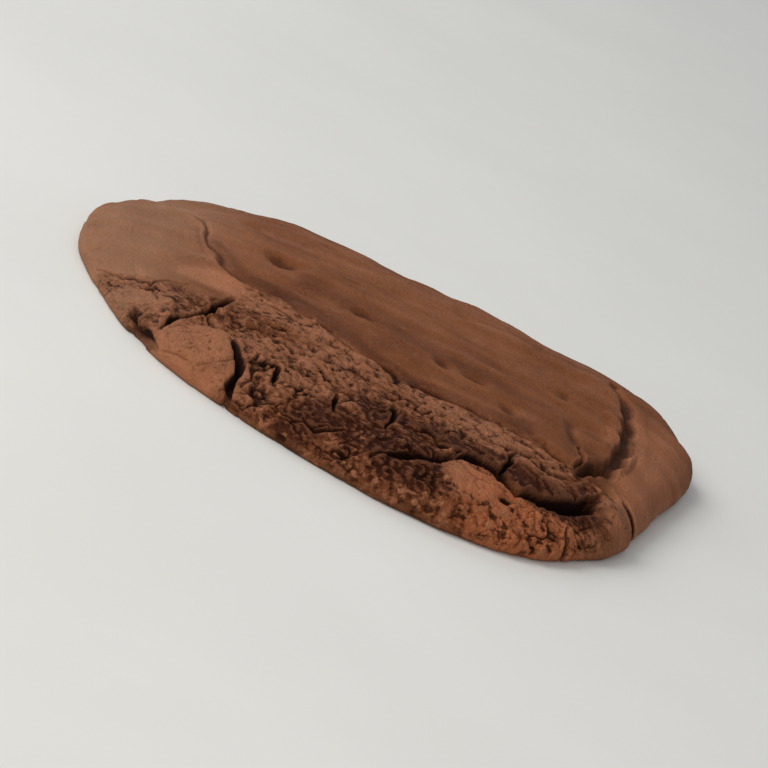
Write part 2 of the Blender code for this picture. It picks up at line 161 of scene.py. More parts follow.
# Dimples in the smooth skin: place, radius along X and Y in millimetres, and depth
DIMPLES = (
    (-19.5, 9.5, 4.6, 3.6, 1.2), (-5, 0.8, 3.4, 2.8, 0.8), (-3.6, -2.6, 1.6, 1.8, 0.5),
    (7.6, -5.5, 2.8, 2.6, 0.7), (13.4, -5.5, 2.6, 2.6, 0.6), (19, -12, 3.2, 2.6, 0.7),
    (-30.5, -9, 3.0, 2.6, 0.5), (8, 24, 3.0, 2.4, 0.4), (-14, 30, 2.6, 2.4, 0.4), (26, 8, 2.4, 3.0, 0.4),
    (-27, 24, 2.2, 2.2, 0.4), (20, 33, 2.4, 2.0, 0.4), (29, -7, 1.8, 6.5, 0.5), (-9, 14, 4.0, 2.0, 0.4),
    (-8.5, -19.5, 1.8, 1.6, 0.6), (-20, -25.3, 1.8, 1.2, 0.6), (25, -21.8, 1.6, 1.6, 0.6),
    (1.5, -18.5, 4.0, 1.6, 0.6), (15.5, -21.5, 3.0, 1.4, 0.5), (3, 10, 3.0, 2.0, 0.3),
)

# Plates and crumbs of the split crust: size, gap, depth of the gap, and unevenness of the tops
PLATE_SIZE = 8.5 * MM
PLATE_GAP = 0.30 * MM
PLATE_DEPTH = 0.25 * MM
PLATE_LIFT = 0.22 * MM
CRUMB_SIZE = 3.6 * MM
CRUMB_GAP = 0.28 * MM
CRUMB_DEPTH = 0.08 * MM
CRUMB_LIFT = 0.10 * MM
# Share of the plates' relief on the smooth skin, and size and reach of the borders' wandering
SMOOTH_SHARE = 0.10
WARP_SIZE = 7 * MM
WARP = 2.2 * MM

# The mesh: squares across it, share of them inside the shoulder, rings round the foot, and the
# number of faces that stay once it is thinned out
GRID = 500
GRID_SHOULDER = 0.5
FOOT_RINGS = 3
MOST_FACES = 198000
# Faces whose normal's Z is lower than this belong to the flat underside
FACING_DOWN = -0.98
# Height over which the rim's markings fade out towards the underside
RIM_FADE = 0.2 * MM

CORNERS = tuple(itertools.product((0, 1), repeat=3))
NEIGHBOURS = tuple(itertools.product((-1, 0, 1), repeat=3))
SLOPES = np.array([step for step in NEIGHBOURS if np.abs(step).sum() == 2]
                  + [(1, 1, 0), (-1, 1, 0), (0, -1, 1), (0, -1, -1)])


def smoothstep(low, high, value):
    """0 below low, 1 above high and a smooth rise between them."""
    t = np.clip((value - low) / (high - low), 0, 1)
    return t * t * (3 - 2 * t)


def hashed(cell, seed):
    """A well mixed 32-bit number for each cell of whole numbers."""
    mixed = (cell @ np.array([73856093, 19349663, 83492791]) + seed * 40503) & 0xFFFFFFFF
    mixed = ((mixed ^ (mixed >> 15)) * 0x2C1B3C6D) & 0xFFFFFFFF
    mixed = ((mixed ^ (mixed >> 12)) * 0x297A2D39) & 0xFFFFFFFF
    return mixed ^ (mixed >> 15)


def noise_at(points, size, seed):
    """Smooth noise from about -1 to 1, with bumps of that size. The seed is any whole number, and
    each use of noise or cells has its own."""
    at = points / size
    low = np.floor(at).astype(np.int64)
    part = at - low
    ease = part**3 * (part * (part * 6 - 15) + 10)
    total = np.zeros(len(points))
    for corner in CORNERS:
        slope = SLOPES[hashed(low + corner, seed) & 15]
        weight = np.where(corner, ease, 1 - ease).prod(axis=1)
        total += weight * (slope * (part - corner)).sum(axis=1)
    return 1.4 * total


def cells_at(points, size, seed):
    """For uneven cells of that size: the distance to the cell's border, and a level from -1 to 1."""
    at = points / size
    low = np.floor(at).astype(np.int64)
    first = np.full(len(points), np.inf)
    second = first.copy()
    level = np.zeros(len(points))
    for step in NEIGHBOURS:
        mixed = hashed(low + step, seed)
        offset = np.stack([mixed & 1023, (mixed >> 10) & 1023, (mixed >> 20) & 1023], axis=1) / 1023
        away = np.sqrt(((low + step + offset - at) ** 2).sum(axis=1))
        nearer = away < first
        second = np.where(nearer, first, np.minimum(second, away))
        level = np.where(nearer, (mixed >> 7 & 255) / 127.5 - 1, level)
        first = np.where(nearer, away, first)
    return (second - first) / 2 * size, level


def outline(angle):
    """The cookie's radius in the direction of each angle."""
    waves = sum(share * np.cos(turns * (angle - math.radians(crest)))
                for turns, share, crest in OUTLINE_WAVES)
    radius = MEAN_RADIUS * (1 + waves)
    for middle, wide, far in BULGES:
        away = (angle - math.radians(middle) + math.pi) % (2 * math.pi) - math.pi
        radius = radius + far * np.exp(-(away / math.radians(wide)) ** 2)
    return radius


def square_to_disc(count):
    """A square grid of points bent to fill the unit disc, their indices, and its rim in order."""
    side = np.linspace(-1, 1, count + 1)
    a, b = np.meshgrid(side, side)
    wide = np.abs(a) > np.abs(b)
    radius = np.where(wide, a, b)
    safe = np.where(radius == 0, 1, radius)
    turn = np.where(wide, math.pi / 4 * b / safe, math.pi / 2 - math.pi / 4 * a / safe)
    index = np.arange((count + 1) ** 2).reshape(count + 1, count + 1)
    rim = np.concatenate([index[0, :-1], index[:-1, -1], index[-1, :0:-1], index[:0:-1, 0]])
    x = (radius * np.cos(turn)).ravel()
    y = (radius * np.sin(turn)).ravel()
    return np.hypot(x, y), np.arctan2(y, x), index, rim


def crust_profile(share):
    """For each share of the way out over the crust: share of the radius, height, and how far
    the surface leans outward (0 faces up, 1 faces sideways)."""
    turn = math.pi / 2 * np.clip((share - GRID_SHOULDER) / (1 - GRID_SHOULDER), 0, 1)
    reach = np.where(share < GRID_SHOULDER, SHOULDER * share / GRID_SHOULDER,
                     SHOULDER + (1 - SHOULDER) * np.sin(turn))
    drop = SHOULDER_HEIGHT - WIDEST_HEIGHT
    height = WIDEST_HEIGHT + drop * np.cos(turn) + DOME_HEIGHT * (1 - reach**2) ** 2
    across = (1 - SHOULDER) * MEAN_RADIUS
    lean = drop * np.sin(turn) / np.hypot(drop * np.sin(turn), across * np.cos(turn))
    return reach, height, lean


def base_surface():
    """Points, faces, and for each point how far it leans outward and how much of the relief
    it takes (0 on the underside)."""
    share, angle, index, rim = square_to_disc(GRID)
    rim_angle = angle[rim]

    def placed(reach, height, angles):
        """Points at those angles, at that share of the radius and at that height."""
        across = reach * outline(angles)
        return np.stack([across * np.cos(angles), across * np.sin(angles), height + 0 * angles], axis=1)

    reach, height, leaning = crust_profile(share)
    points = [placed(reach, height, angle)]
    lean = [leaning]
    relief = [1 - 0.3 * leaning**2]
    rings = [rim]
    for step in range(1, FOOT_RINGS):
        turn = math.pi / 2 * step / FOOT_RINGS
        tucked = 1 - (1 - FOOT) * (1 - math.cos(turn))
        rings.append(sum(len(p) for p in points) + np.arange(len(rim)))
        points.append(placed(tucked, WIDEST_HEIGHT * (1 - math.sin(turn)), rim_angle))
        lean.append(np.ones(len(rim)))
        relief.append(np.full(len(rim), 0.7 - 0.3 * math.sin(turn)))
    under = sum(len(p) for p in points)
    rings.append(under + rim)
    points.append(placed(FOOT * share, 0.0, angle))
    lean.append(np.ones(len(share)))
    relief.append(0.4 * smoothstep(0.86, 1.0, share))

    top = np.stack([index[:-1, :-1], index[:-1, 1:], index[1:, 1:], index[1:, :-1]], axis=-1).reshape(-1, 4)
    faces = [top, top[:, ::-1] + under]
    for upper, lower in zip(rings[:-1], rings[1:]):
        faces.append(np.stack([upper, lower, np.roll(lower, -1), np.roll(upper, -1)], axis=1))
    return np.concatenate(points), np.concatenate(faces), np.concatenate(lean), np.concatenate(relief)


def distance_to_route(x, y, route):
    """Distance in plan to a route, and the share of its length at the nearest place."""
    best = np.full(len(x), np.inf)
    along = np.zeros(len(x))
    lengths = [math.dist(a, b) for a, b in zip(route, route[1:])]
    done = 0.0
    for (ax, ay), (bx, by), length in zip(route, route[1:], lengths):
        t = np.clip(((x - ax) * (bx - ax) + (y - ay) * (by - ay)) / length**2, 0, 1)
        away = np.hypot(x - ax - t * (bx - ax), y - ay - t * (by - ay))
        nearer = away < best
        best = np.where(nearer, away, best)
        along = np.where(nearer, (done + t * length) / sum(lengths), along)
        done += length
    return best, along


def beyond_line(points, line, ragged):
    """Distance in plan on the near side of a line that runs along X."""
    across, back = MM * np.array(line).T
    return np.interp(points[:, 0], across, back) - points[:, 1] + LINE_WANDER * ragged


def roughness_of(points, ragged):
    """0 on the smooth skin, 1 in the crumbly band, and part way round the rest of the rim."""
    band = smoothstep(-1.0 * MM, 2.0 * MM, beyond_line(points, CRUMB_LINE, ragged))
    share = np.hypot(points[:, 0], points[:, 1]) / outline(np.arctan2(points[:, 1], points[:, 0]))
    return np.maximum(band, RIM_ROUGHNESS * smoothstep(0.90, 1.0, share))


def across_oval(x, y, place, radii, turn=0):
    """Distance from an oval's centre, 1 at its border."""
    c = math.cos(math.radians(turn))
    s = math.sin(math.radians(turn))
    dx = x - place[0] * MM
    dy = y - place[1] * MM
    return np.hypot((c * dx + s * dy) / (radii[0] * MM), (c * dy - s * dx) / (radii[1] * MM))


def long_cracks(points):
    """For each long crack: its name, depth and drop, how far it tapers, the distance from its middle
    in metres and as a share of its half width, and its middle's distance from the cookie's."""
    wander = sum(reach * np.stack([noise_at(points, size, 21), noise_at(points, size, 22)])
                 for size, reach in CRACK_WANDER)
    for name, (route, half_width, depth, drop) in CRACKS.items():
        route = [(px * MM, py * MM) for px, py in route]
        away, along = distance_to_route(points[:, 0] + wander[0], points[:, 1] + wander[1], route)
        taper = np.sqrt(np.sin(math.pi * np.clip(along, 0.04, 0.96)))
        t = away / (CRACK_WIDTH * half_width * MM * (0.35 + 0.65 * taper))
        middle = sum(math.hypot(*p) for p in route) / len(route)
        yield name, depth, drop, taper, away, t, middle


def crack_relief(points):
    """The long cracks, with a raised lip along each and a drop to the outer side of it."""
    height = np.zeros(len(points))
    radius = np.hypot(points[:, 0], points[:, 1])
    for _, depth, drop, taper, away, t, middle in long_cracks(points):
        outer = smoothstep(-0.5 * MM, 0.5 * MM, radius - middle) * (1 - smoothstep(0, 8 * MM, away))
        height -= depth * MM * taper * (1 - smoothstep(*CRACK_WALL, t))
        height += LIP_HEIGHT * taper * np.exp(-((t - 1.7) / 0.5) ** 2)
        height -= drop * MM * taper * outer
    return height


def relief_height(points):
    """How far the crust stands proud of the base surface at each point."""
    x, y = points[:, 0], points[:, 1]
    ragged = noise_at(points, LINE_WANDER_SIZE, LINE_WANDER_SEED)
    rough = roughness_of(points, ragged)
    height = sum(tall * noise_at(points, size, n) for n, (size, tall) in enumerate(WAVES))
    height += TILT * x
    height += SWELL_HEIGHT * np.exp(-np.hypot(x - SWELL_PLACE[0], y - SWELL_PLACE[1]) ** 2 / SWELL_RADIUS**2)
    height += (1 - rough) * WRINKLE_HEIGHT * noise_at(points, WRINKLE_SIZE, 8)
    fold = beyond_line(points, FOLD_LINE, ragged)
    height -= FOLD_DROP * np.exp(-(fold / FOLD_WIDTH + 1) ** 2)
    height += FOLD_LIP * np.exp(-(fold / FOLD_WIDTH - 0.8) ** 2)
    crumb = beyond_line(points, CRUMB_LINE, ragged)
    height -= CRUMB_DROP * smoothstep(0, 1.2 * MM, crumb) * (1 - smoothstep(8 * MM, 16 * MM, crumb))

    warp = WARP * np.stack([noise_at(points, WARP_SIZE, 11), noise_at(points, WARP_SIZE, 12), 0 * x], axis=1)
    share = SMOOTH_SHARE + (1 - SMOOTH_SHARE) * rough
    broken = np.clip(0.6 + 0.9 * noise_at(points, 18 * MM, 13), 0, 1)
    border, level = cells_at(points + warp, PLATE_SIZE, 14)
    open_gap = 1 - smoothstep(0.2 * PLATE_GAP, PLATE_GAP, border)
    height += share * (PLATE_LIFT * level * smoothstep(0, 1.2 * MM, border) - PLATE_DEPTH * broken * open_gap)
    border, level = cells_at(points + 0.6 * warp, CRUMB_SIZE, 15)
    open_gap = 1 - smoothstep(0.2 * CRUMB_GAP, CRUMB_GAP, border)
    height += rough * (CRUMB_LIFT * level * smoothstep(0, 0.6 * MM, border) - CRUMB_DEPTH * broken * open_gap)

    for px, py, rx, ry, turn, tall in LUMPS:
        away = across_oval(x + warp[:, 0], y + warp[:, 1], (px, py), (rx, ry), turn)
        height += tall * MM * (1 - smoothstep(0.55, 1.05, away))
    for px, py, rx, ry, depth in DIMPLES:
        away = across_oval(x + 0.6 * warp[:, 0], y, (px, py), (rx, ry))
        height -= depth * MM * (1 - smoothstep(0.1, 1.1, away))
    return height + crack_relief(points)


# Fine relief of the smooth skin: size and height
SKIN_GRAINS = ((3.2 * MM, 0.06 * MM), (1.3 * MM, 0.025 * MM), (0.6 * MM, 0.012 * MM))
# Long soft streaks of the smooth skin: size across, squeeze along X, height, and share of the painted shade
# that follows them in the tone
SKIN_STREAK_SIZE = 3.6 * MM
SKIN_STREAK_SQUEEZE = (0.28, 1, 1)
SKIN_STREAK_SEED = 96
SKIN_STREAK_HEIGHT = 0.11 * MM
SKIN_STREAK_PAINTED_SHADE = 0.24
# Pleats of the skin between the fold and the crumbs: step, height, squeeze along X, half width of a
# crease as a share of the step, and size and reach of their wandering
PLEAT_STEP = 4.2 * MM
PLEAT_HEIGHT = 1.35 * MM
PLEAT_SQUEEZE = (0.55, 1, 1)
PLEAT_CREASE = 0.13
PLEAT_WANDER = ((10 * MM, 3.4 * MM), (4 * MM, 0.9 * MM), (1.8 * MM, 0.3 * MM))
# Where the pleats set in and end along X, and how far apart in the noise two pleats are
PLEAT_START = (-26 * MM, -14 * MM)
PLEAT_END = (26 * MM, 33 * MM)
PLEAT_APART = 0.037
# Where the streaky band sets in at the fold line, ends at the crumb line and sets in along X
STREAKY_FOLD = (-5 * MM, 1.5 * MM)
STREAKY_CRUMB = (0, 3.5 * MM)
STREAKY_START = (-28 * MM, -20 * MM)
# How crumbly the streaky band is, share of the slits that the crumbs have, and of the pores on skin
STREAKY_CRUMBLY = 0.6
SLITS_IN_CRUMBS = 0.8
PORES_ON_SKIN = 0.15
# Strength that changes from place to place: mean, swing, size of the patches, least strength, and seed
PLEAT_PATCHES = (0.60, 1.3, 6 * MM, 0, 66)
CHIP_PATCHES = (0.75, 1.1, 9 * MM, 0.25, 79)
GRAIN_PATCHES = (0.75, 0.8, 5 * MM, 0.3, 89)
# Short slits along X in the pleats and crumbs, one to a cell: size of the cells, half width, depth,
# length as a multiple of the width, and share of the cells that have one
SLIT_SIZE = 3.4 * MM
SLIT_RADIUS = 0.66 * MM
SLIT_DEPTH = 1.1 * MM
SLIT_LENGTH = 3.2
SLIT_SHARE = 0.5
# Chips of the split crust: size, gap, depth of the gap, unevenness of the tops, and share of open gaps
CHIPS = (
    (4.2 * MM, 0.24 * MM, 0.70 * MM, 0.12 * MM, 0.55),
    (1.9 * MM, 0.16 * MM, 0.22 * MM, 0.05 * MM, 0.05),
)
# How the chips' edges wander: size and reach
JAGS = ((1.7 * MM, 0.42 * MM), (0.7 * MM, 0.16 * MM))
# Crumbs: size, unevenness of their tops, and share of the speckles
CRUMBS = ((2.9 * MM, 0.20 * MM, 0.10), (1.5 * MM, 0.22 * MM, 0.30), (0.80 * MM, 0.22 * MM, 0.60))
# Round pores, one to a cell: size of the cells, radius, depth, and share of the cells that have one
PORE_SIZE = 2.3 * MM
PORE_RADIUS = 0.34 * MM
PORE_DEPTH = 0.45 * MM
PORE_SHARE = 0.4
# How far the inner lips of the deep cracks hang out over them, and how far back the surface follows
LIP_SHIFT = {"mouth": 0.6 * MM, "mouth_end": 0.5 * MM, "near_left": 0.3 * MM, "valley": 0.4 * MM}
LIP_REACH = 3.5
# Depth in millimetres from which a crack's floor is painted quite dark as shade, partly the darker crumb
# inside, and cracks whose floor gets less or more of that painted shade than their depth says, with the
# factor
DARK_DEPTH = 1.6
CRACK_DARKNESS = {"groove": 0.55, "groove_low": 0.8, "groove_side": 0.5, "right_rim": 1.2}
# Up to where the floor and the walls of a long crack reach and end, as shares of its half width, and
# share of the fine relief that is missing on them
CRACK_FLOOR = (0.70, 1.15)
CRACK_SIDES = (0.75, 1.15)
WALLS_CALMED = 0.75
# How dark the painted shade in each kind of gap is
GAP_DARKNESS = {"pleats": 0.8, "chips": 0.75, "slits": 0.85, "dimples": 0.35}
# Places where the crust stayed whole: place, radius along X and Y in millimetres, and turn
WHOLE = (
    (-25, -39, 8, 9, 25), (18.5, -43, 6, 4.5, 20), (27, -31, 5.5, 4.2, 30), (40, -26, 5, 10, -25),
    (-36, -27, 6, 4, -40),
)
# Share of each kind of relief that is missing there
CALMED = {"chips": 0.85, "crumbs": 0.8, "speckle": 0.5, "slits": 0.7, "crumbly": 0.55}
# Paler and darker places of the crust, partly its own uneven bake and partly painted light and painted shade
# (painted sheen on the far-left skin, painted light on the lobes, the far right flange and the near right
# rim, painted shade in the groove): place, radius along X and Y in millimetres, turn, and amount
TONES_AND_PAINTED_LIGHT = (
    (-38, 2, 18, 30, -15, 0.35), (-25, -38, 7.5, 9, 25, 1.0), (-37, -24, 10, 5, -40, 0.9),
    (43, -4, 9, 30, 0, 0.8), (18, -43, 6.5, 4.5, 10, 1.5), (-12, -35, 13, 12, -10, 1.2),
    (33, -17, 4, 9, 10, -0.4), (31, -43, 12, 6, 35, 1.6), (6, 28, 34, 18, 0, 0.2), (40, -26, 5, 9, -25, 0.5),
)
# Size, reach and seed of the wandering of their borders
TONE_WANDER_SIZE = 9 * MM
TONE_WANDER = 2.5 * MM
TONE_WANDER_SEED = 95
# Bands of painted light and painted shade: painted shade along the fold, over the crumbs near the mouth and
# on the lower near rim, and painted light on the near side of the fold: route in millimetres, half width, and
# amount
PAINTED_LIGHT_AND_SHADE_BANDS = (
    (((-32, 5), (-26, -4), (-19, -6), (-12, -9), (-7, -12), (-2, -16), (12, -17), (21, -15)), 2.6, -0.55),
    (((-16, 4), (-6, 1), (6, -2), (14, -3), (24, -3)), 2.2, -0.35),
    (((-29, -12), (-18, -15), (-8, -20), (2, -24), (14, -25), (26, -26)), 5.0, 1.1),
    (((0, -35), (7, -37), (14, -35.5), (26, -35), (34, -31)), 5.5, -1.2),
    (((-8, -48), (-2, -46), (9, -45)), 4.0, -1.2),
)

# Colour of the smooth skin and of the crumbs (linear red, green and blue), and patches and spots on it:
# size, detail and roughness of their noise, values of it where they set in and are full, their share
# there, and their colour
SKIN = (0.148, 0.0460, 0.0145)
SKIN_MARKS = (
    (14 * MM, 5, 0.60, 0.35, 0.65, 1.0, (0.182, 0.0590, 0.0195)),
    (3.0 * MM, 6, 0.65, 0.45, 0.70, 0.6, (0.210, 0.073, 0.027)),
)
CRUMB = (0.120, 0.0320, 0.0110)
CRUMB_MARKS = (
    (8 * MM, 5, 0.60, 0.35, 0.65, 1.0, (0.170, 0.0480, 0.0170)),
    (1.6 * MM, 5, 0.70, 0.45, 0.65, 0.5, (0.260, 0.092, 0.040)),
)
# Layers of colour over them, in order: what each follows, values of it where the layer sets in and is
# full, its share there, how much of that is left on smooth skin, kind of rise, and colour. Several of them
# are
# painted light and painted shade: the pale and dark places in part, the left side's sheen, the near right
# rim's light, the hollows and the gaps
LAYERS = {
    # Pale places: partly the crust's own paler bake, partly painted light
    "pale places and painted light": ("tone_and_painted_light", 0.50, 1.00, 0.90, 1.0, "LINEAR", (0.350, 0.136, 0.066)),
    # Painted sheen: a greyer, paler colour on the far-left skin where light glances off it
    "painted sheen on the left side": ("x", -24 * MM, -40 * MM, 0.50, 1.0, "SMOOTHSTEP", (0.255, 0.138, 0.080)),
    # Painted light: a bright orange on the near right rim where light falls on it
    "painted light on the near right rim": ("painted_light_near_right", 0.00, 1.00, 0.90, 1.0, "LINEAR", (0.560, 0.160, 0.058)),
    # Dark places: partly the crust's own darker bake, partly painted shade
    "dark places and painted shade": ("tone_and_painted_light", 0.50, 0.00, 0.90, 1.0, "LINEAR", (0.052, 0.0115, 0.0040)),
    # Painted shade in the wide hollows, with some of the darker moist crumb inside them
    "painted shade in wide hollows": ("wide_hollow", 0.60, 0.95, 0.45, 1.0, "SMOOTHSTEP", (0.034, 0.0075, 0.0028)),
    "pale grains": ("grains", 0.02, 0.50, 0.80, 1.0, "SMOOTHSTEP", (0.430, 0.172, 0.088)),
    "dark grains": ("grains", -0.05, -0.50, 0.88, 1.0, "SMOOTHSTEP", (0.028, 0.0060, 0.0024)),
    "fine ridges": ("fine_hollow", 0.48, 0.10, 0.30, 0.4, "SMOOTHSTEP", (0.320, 0.125, 0.058)),
    # Painted shade in the fine hollows and pores
    "painted shade in fine hollows": ("fine_hollow", 0.56, 0.95, 0.45, 0.6, "SMOOTHSTEP", (0.045, 0.0100, 0.0038)),
    # Painted shade: near black in the cracks, creases, chips, slits and dimples, with some of the darker
    # moist crumb inside the cracks
    "gaps": ("gap", 0.15, 0.85, 0.95, 1.0, "SMOOTHSTEP", (0.012, 0.0026, 0.0012)),
}
# Where the painted light on the near right rim sets in and is full
PAINTED_LIGHT_NEAR_RIGHT_X = (12 * MM, 26 * MM)
PAINTED_LIGHT_NEAR_RIGHT_Y = (-31 * MM, -38 * MM)
# Grains: contrast of the crumbs' own speckle, and size and contrast of the smaller ones
SPECKLE_CONTRAST = 1.2
GRAINS = ((0.85 * MM, 0.55), (0.45 * MM, 0.45))
# How much darker the grains are in dark places, and how much of their contrast is left there and on skin
GRAINS_DARKER = -0.24
GRAINS_LEFT_DARK = 0.65
GRAINS_LEFT_SKIN = 0.10
# From here on a place counts as all crumbs
ALL_CRUMBS = 0.8
# Roughness: of the skin from place to place, size of those places, and what crumbs and gaps add to it
ROUGHNESS = (0.58, 0.74)
ROUGHNESS_SIZE = 4 * MM
ROUGHER_CRUMBS = 0.18
ROUGHER_GAPS = 0.2
SPECULAR = 0.08
# Finest grain of the surface: strength, depth, what is left of it on skin, and for each of its noises
# the size, detail, roughness and share
BUMP_STRENGTH = 0.8
BUMP_DEPTH = 1.8 * MM
BUMP_LEFT_SKIN = 0.22
BUMP_NOISE = (0.8 * MM, 5, 0.65)
BUMP_FINE_NOISE = (0.30 * MM, 3, 0.6)
BUMP_FINE_SHARE = 0.6
# How hollow a point is: rounds of smoothing that it is measured against, and depth of a full hollow
HOLLOWS = (("fine_hollow", 4, 0.06 * MM), ("wide_hollow", 60, 0.35 * MM))


def triangles_of(quads):
    """Two triangles for each face with four sides."""
    return np.concatenate([quads[:, [0, 1, 2]], quads[:, [0, 2, 3]]])


def mesh_of(name, points, triangles):
    """A Blender mesh of those points and triangles."""
    mesh = bpy.data.meshes.new(name)
    mesh.vertices.add(len(points))
    mesh.vertices.foreach_set("co", points.astype(np.float32).ravel())
    mesh.loops.add(3 * len(triangles))
    mesh.loops.foreach_set("vertex_index", triangles.astype(np.int32).ravel())
    mesh.polygons.add(len(triangles))
    mesh.polygons.foreach_set("loop_start", np.arange(0, 3 * len(triangles), 3, dtype=np.int32))
    mesh.update(calc_edges=True)
    return mesh


def wandering(points, waves, seed):
    """Offsets along X, Y and Z that change from place to place."""
    return sum(reach * np.stack([noise_at(points, size, seed + 10 * n + axis) for axis in range(3)], axis=1)
               for n, (size, reach) in enumerate(waves))


def patchy(points, mean, swing, size, least, seed):
    """A strength up to 1 that changes from place to place round its mean."""
    return np.clip(mean + swing * noise_at(points, size, seed), least, 1)


def skin_streaks(points):
    """Smooth noise from about -1 to 1, longer along X."""
    return noise_at(points * SKIN_STREAK_SQUEEZE, SKIN_STREAK_SIZE, SKIN_STREAK_SEED)


def pleat_relief(points, fold, streaky):
    """Height of low folds that lie over each other like shingles, and how dark the painted shade is
    in the crease under each lip."""
    stretched = points * PLEAT_SQUEEZE
    wander = sum(reach * noise_at(stretched, size, 60 + n) for n, (size, reach) in enumerate(PLEAT_WANDER))
    level = (fold + wander) / PLEAT_STEP
    layer = np.floor(level)
    part = level - layer
    strength = patchy(stretched + layer[:, None] * PLEAT_APART, *PLEAT_PATCHES) * streaky
    strength *= smoothstep(*PLEAT_START, points[:, 0]) * (1 - smoothstep(*PLEAT_END, points[:, 0]))
    crease = np.exp(-((1 - part) / PLEAT_CREASE) ** 2) + np.exp(-(part / PLEAT_CREASE) ** 2)
    height = PLEAT_HEIGHT * strength * (part * (1 - smoothstep(0.70, 1.0, part)) - 0.4 - 0.25 * crease)
    return height, GAP_DARKNESS["pleats"] * strength * crease


def scattered_pits(points, size, radius, share, stretch, seed):
    """1 in the middle of pits strewn one to a cell, 0 away from them. They are longer along X."""
    at = points * (1 / stretch, 1, 1) / size
    low = np.floor(at).astype(np.int64)
    nearest = np.full(len(points), np.inf)
    for step in NEIGHBOURS:
        mixed = hashed(low + step, seed)
        offset = np.stack([mixed & 1023, (mixed >> 10) & 1023, (mixed >> 20) & 1023], axis=1) / 1023
        away = np.sqrt(((low + step + offset - at) ** 2).sum(axis=1)) * size / radius
        away = np.where((mixed >> 3 & 255) < 255 * share, away / (0.4 + (mixed >> 5 & 255) / 255), np.inf)
        nearest = np.minimum(nearest, away)
    return 1 - smoothstep(0.3, 1.0, nearest)


def fine_relief(points):
    """Pleats, chips, slits and pores on top of the broad relief, the crumbs' height and speckle, how
    dark the painted shade of the gaps is at each point, and how crumbly it is there."""
    ragged = noise_at(points, LINE_WANDER_SIZE, LINE_WANDER_SEED)
    rough = roughness_of(points, ragged)
    calm = np.zeros(len(points))
    for px, py, rx, ry, turn in WHOLE:
        away = across_oval(points[:, 0], points[:, 1], (px, py), (rx, ry), turn)
        calm = np.maximum(calm, 1 - smoothstep(0.75, 1.15, away))
    broken = rough * patchy(points, *CHIP_PATCHES) * (1 - CALMED["chips"] * calm)
    fold = beyond_line(points, FOLD_LINE, ragged)
    crumb = beyond_line(points, CRUMB_LINE, ragged)
    streaky = smoothstep(*STREAKY_FOLD, fold) * (1 - smoothstep(*STREAKY_CRUMB, crumb))
    streaky *= smoothstep(*STREAKY_START, points[:, 0])
    height, gap = pleat_relief(points, fold, streaky)
    jagged = points + wandering(points, JAGS, 64)
    for n, (size, width, depth, lift, share) in enumerate(CHIPS):
        border, level = cells_at(jagged * (0.6, 1, 1), size, 80 + n)
        opened = 1 - smoothstep(0.15 * width, width, border)
        opened *= patchy(points, share, 1.4, 5 * MM, 0, 84 + n)
        height += broken * (lift * level * smoothstep(0, 0.5 * MM, border) - depth * opened)
        gap = np.maximum(gap, GAP_DARKNESS["chips"] * broken * opened)
    grainy = np.maximum(rough, STREAKY_CRUMBLY * streaky) * patchy(points, *GRAIN_PATCHES)
    speckle = np.zeros(len(points))
    crumbs = np.zeros(len(points))
    for n, (size, lift, share) in enumerate(CRUMBS):
        _, level = cells_at(points + 0.3 * (jagged - points), size, 76 + n)
        crumbs += lift * grainy * (1 - CALMED["crumbs"] * calm) * level
        speckle += share * (1 - CALMED["speckle"] * calm) * level
    for n, (size, tall) in enumerate(SKIN_GRAINS):
        height += tall * noise_at(points, size, 90 + n)
    height += SKIN_STREAK_HEIGHT * (1 - rough) * skin_streaks(points)
    slit = scattered_pits(jagged, SLIT_SIZE, SLIT_RADIUS, SLIT_SHARE, SLIT_LENGTH, 97)
    slit *= np.maximum(streaky, SLITS_IN_CRUMBS * rough) * (1 - CALMED["slits"] * calm)
    pore = scattered_pits(points, PORE_SIZE, PORE_RADIUS, PORE_SHARE, 1.0, 98)
    pore *= PORES_ON_SKIN + (1 - PORES_ON_SKIN) * rough
    gap = np.maximum(gap, GAP_DARKNESS["slits"] * slit)
    height -= SLIT_DEPTH * slit + PORE_DEPTH * pore
    crumbly = np.maximum(rough * (1 - CALMED["crumbly"] * calm), STREAKY_CRUMBLY * streaky)
    return height, np.stack([crumbs, speckle], axis=1), gap, crumbly


def long_crack_depth(points):
    """1 in the middle of the long cracks and 0 away from them, and the same with their walls."""
    deepest = np.zeros(len(points))
    walls = np.zeros(len(points))
    for name, depth, _, taper, _, t, _ in long_cracks(points):
        share = min(depth / DARK_DEPTH, 1) * taper * CRACK_DARKNESS.get(name, 1)
        deepest = np.maximum(deepest, share * (1 - smoothstep(*CRACK_FLOOR, t)))
        walls = np.maximum(walls, taper * (1 - smoothstep(*CRACK_SIDES, t)))
    return deepest, walls


def lip_push(points, radius):
    """How far the inner lips of the deep cracks hang out over them."""
    push = np.zeros(len(points))
    for name, _, _, taper, _, t, middle in long_cracks(points):
        inner = smoothstep(-0.2 * MM, 0.6 * MM, middle - radius)
        hang = smoothstep(CRACK_WALL[0], CRACK_WALL[1] + 0.1, t) * (1 - smoothstep(1.3, LIP_REACH, t))
        push = np.maximum(push, LIP_SHIFT.get(name, 0) * inner * hang * taper)
    return push


def dimple_depth(points):
    """1 in the middle of the dimples, 0 away from them."""
    deepest = np.zeros(len(points))
    for px, py, rx, ry, depth in DIMPLES:
        away = across_oval(points[:, 0], points[:, 1], (px, py), (rx, ry))
        deepest = np.maximum(deepest, depth * (1 - smoothstep(0.1, 0.9, away)))
    return deepest


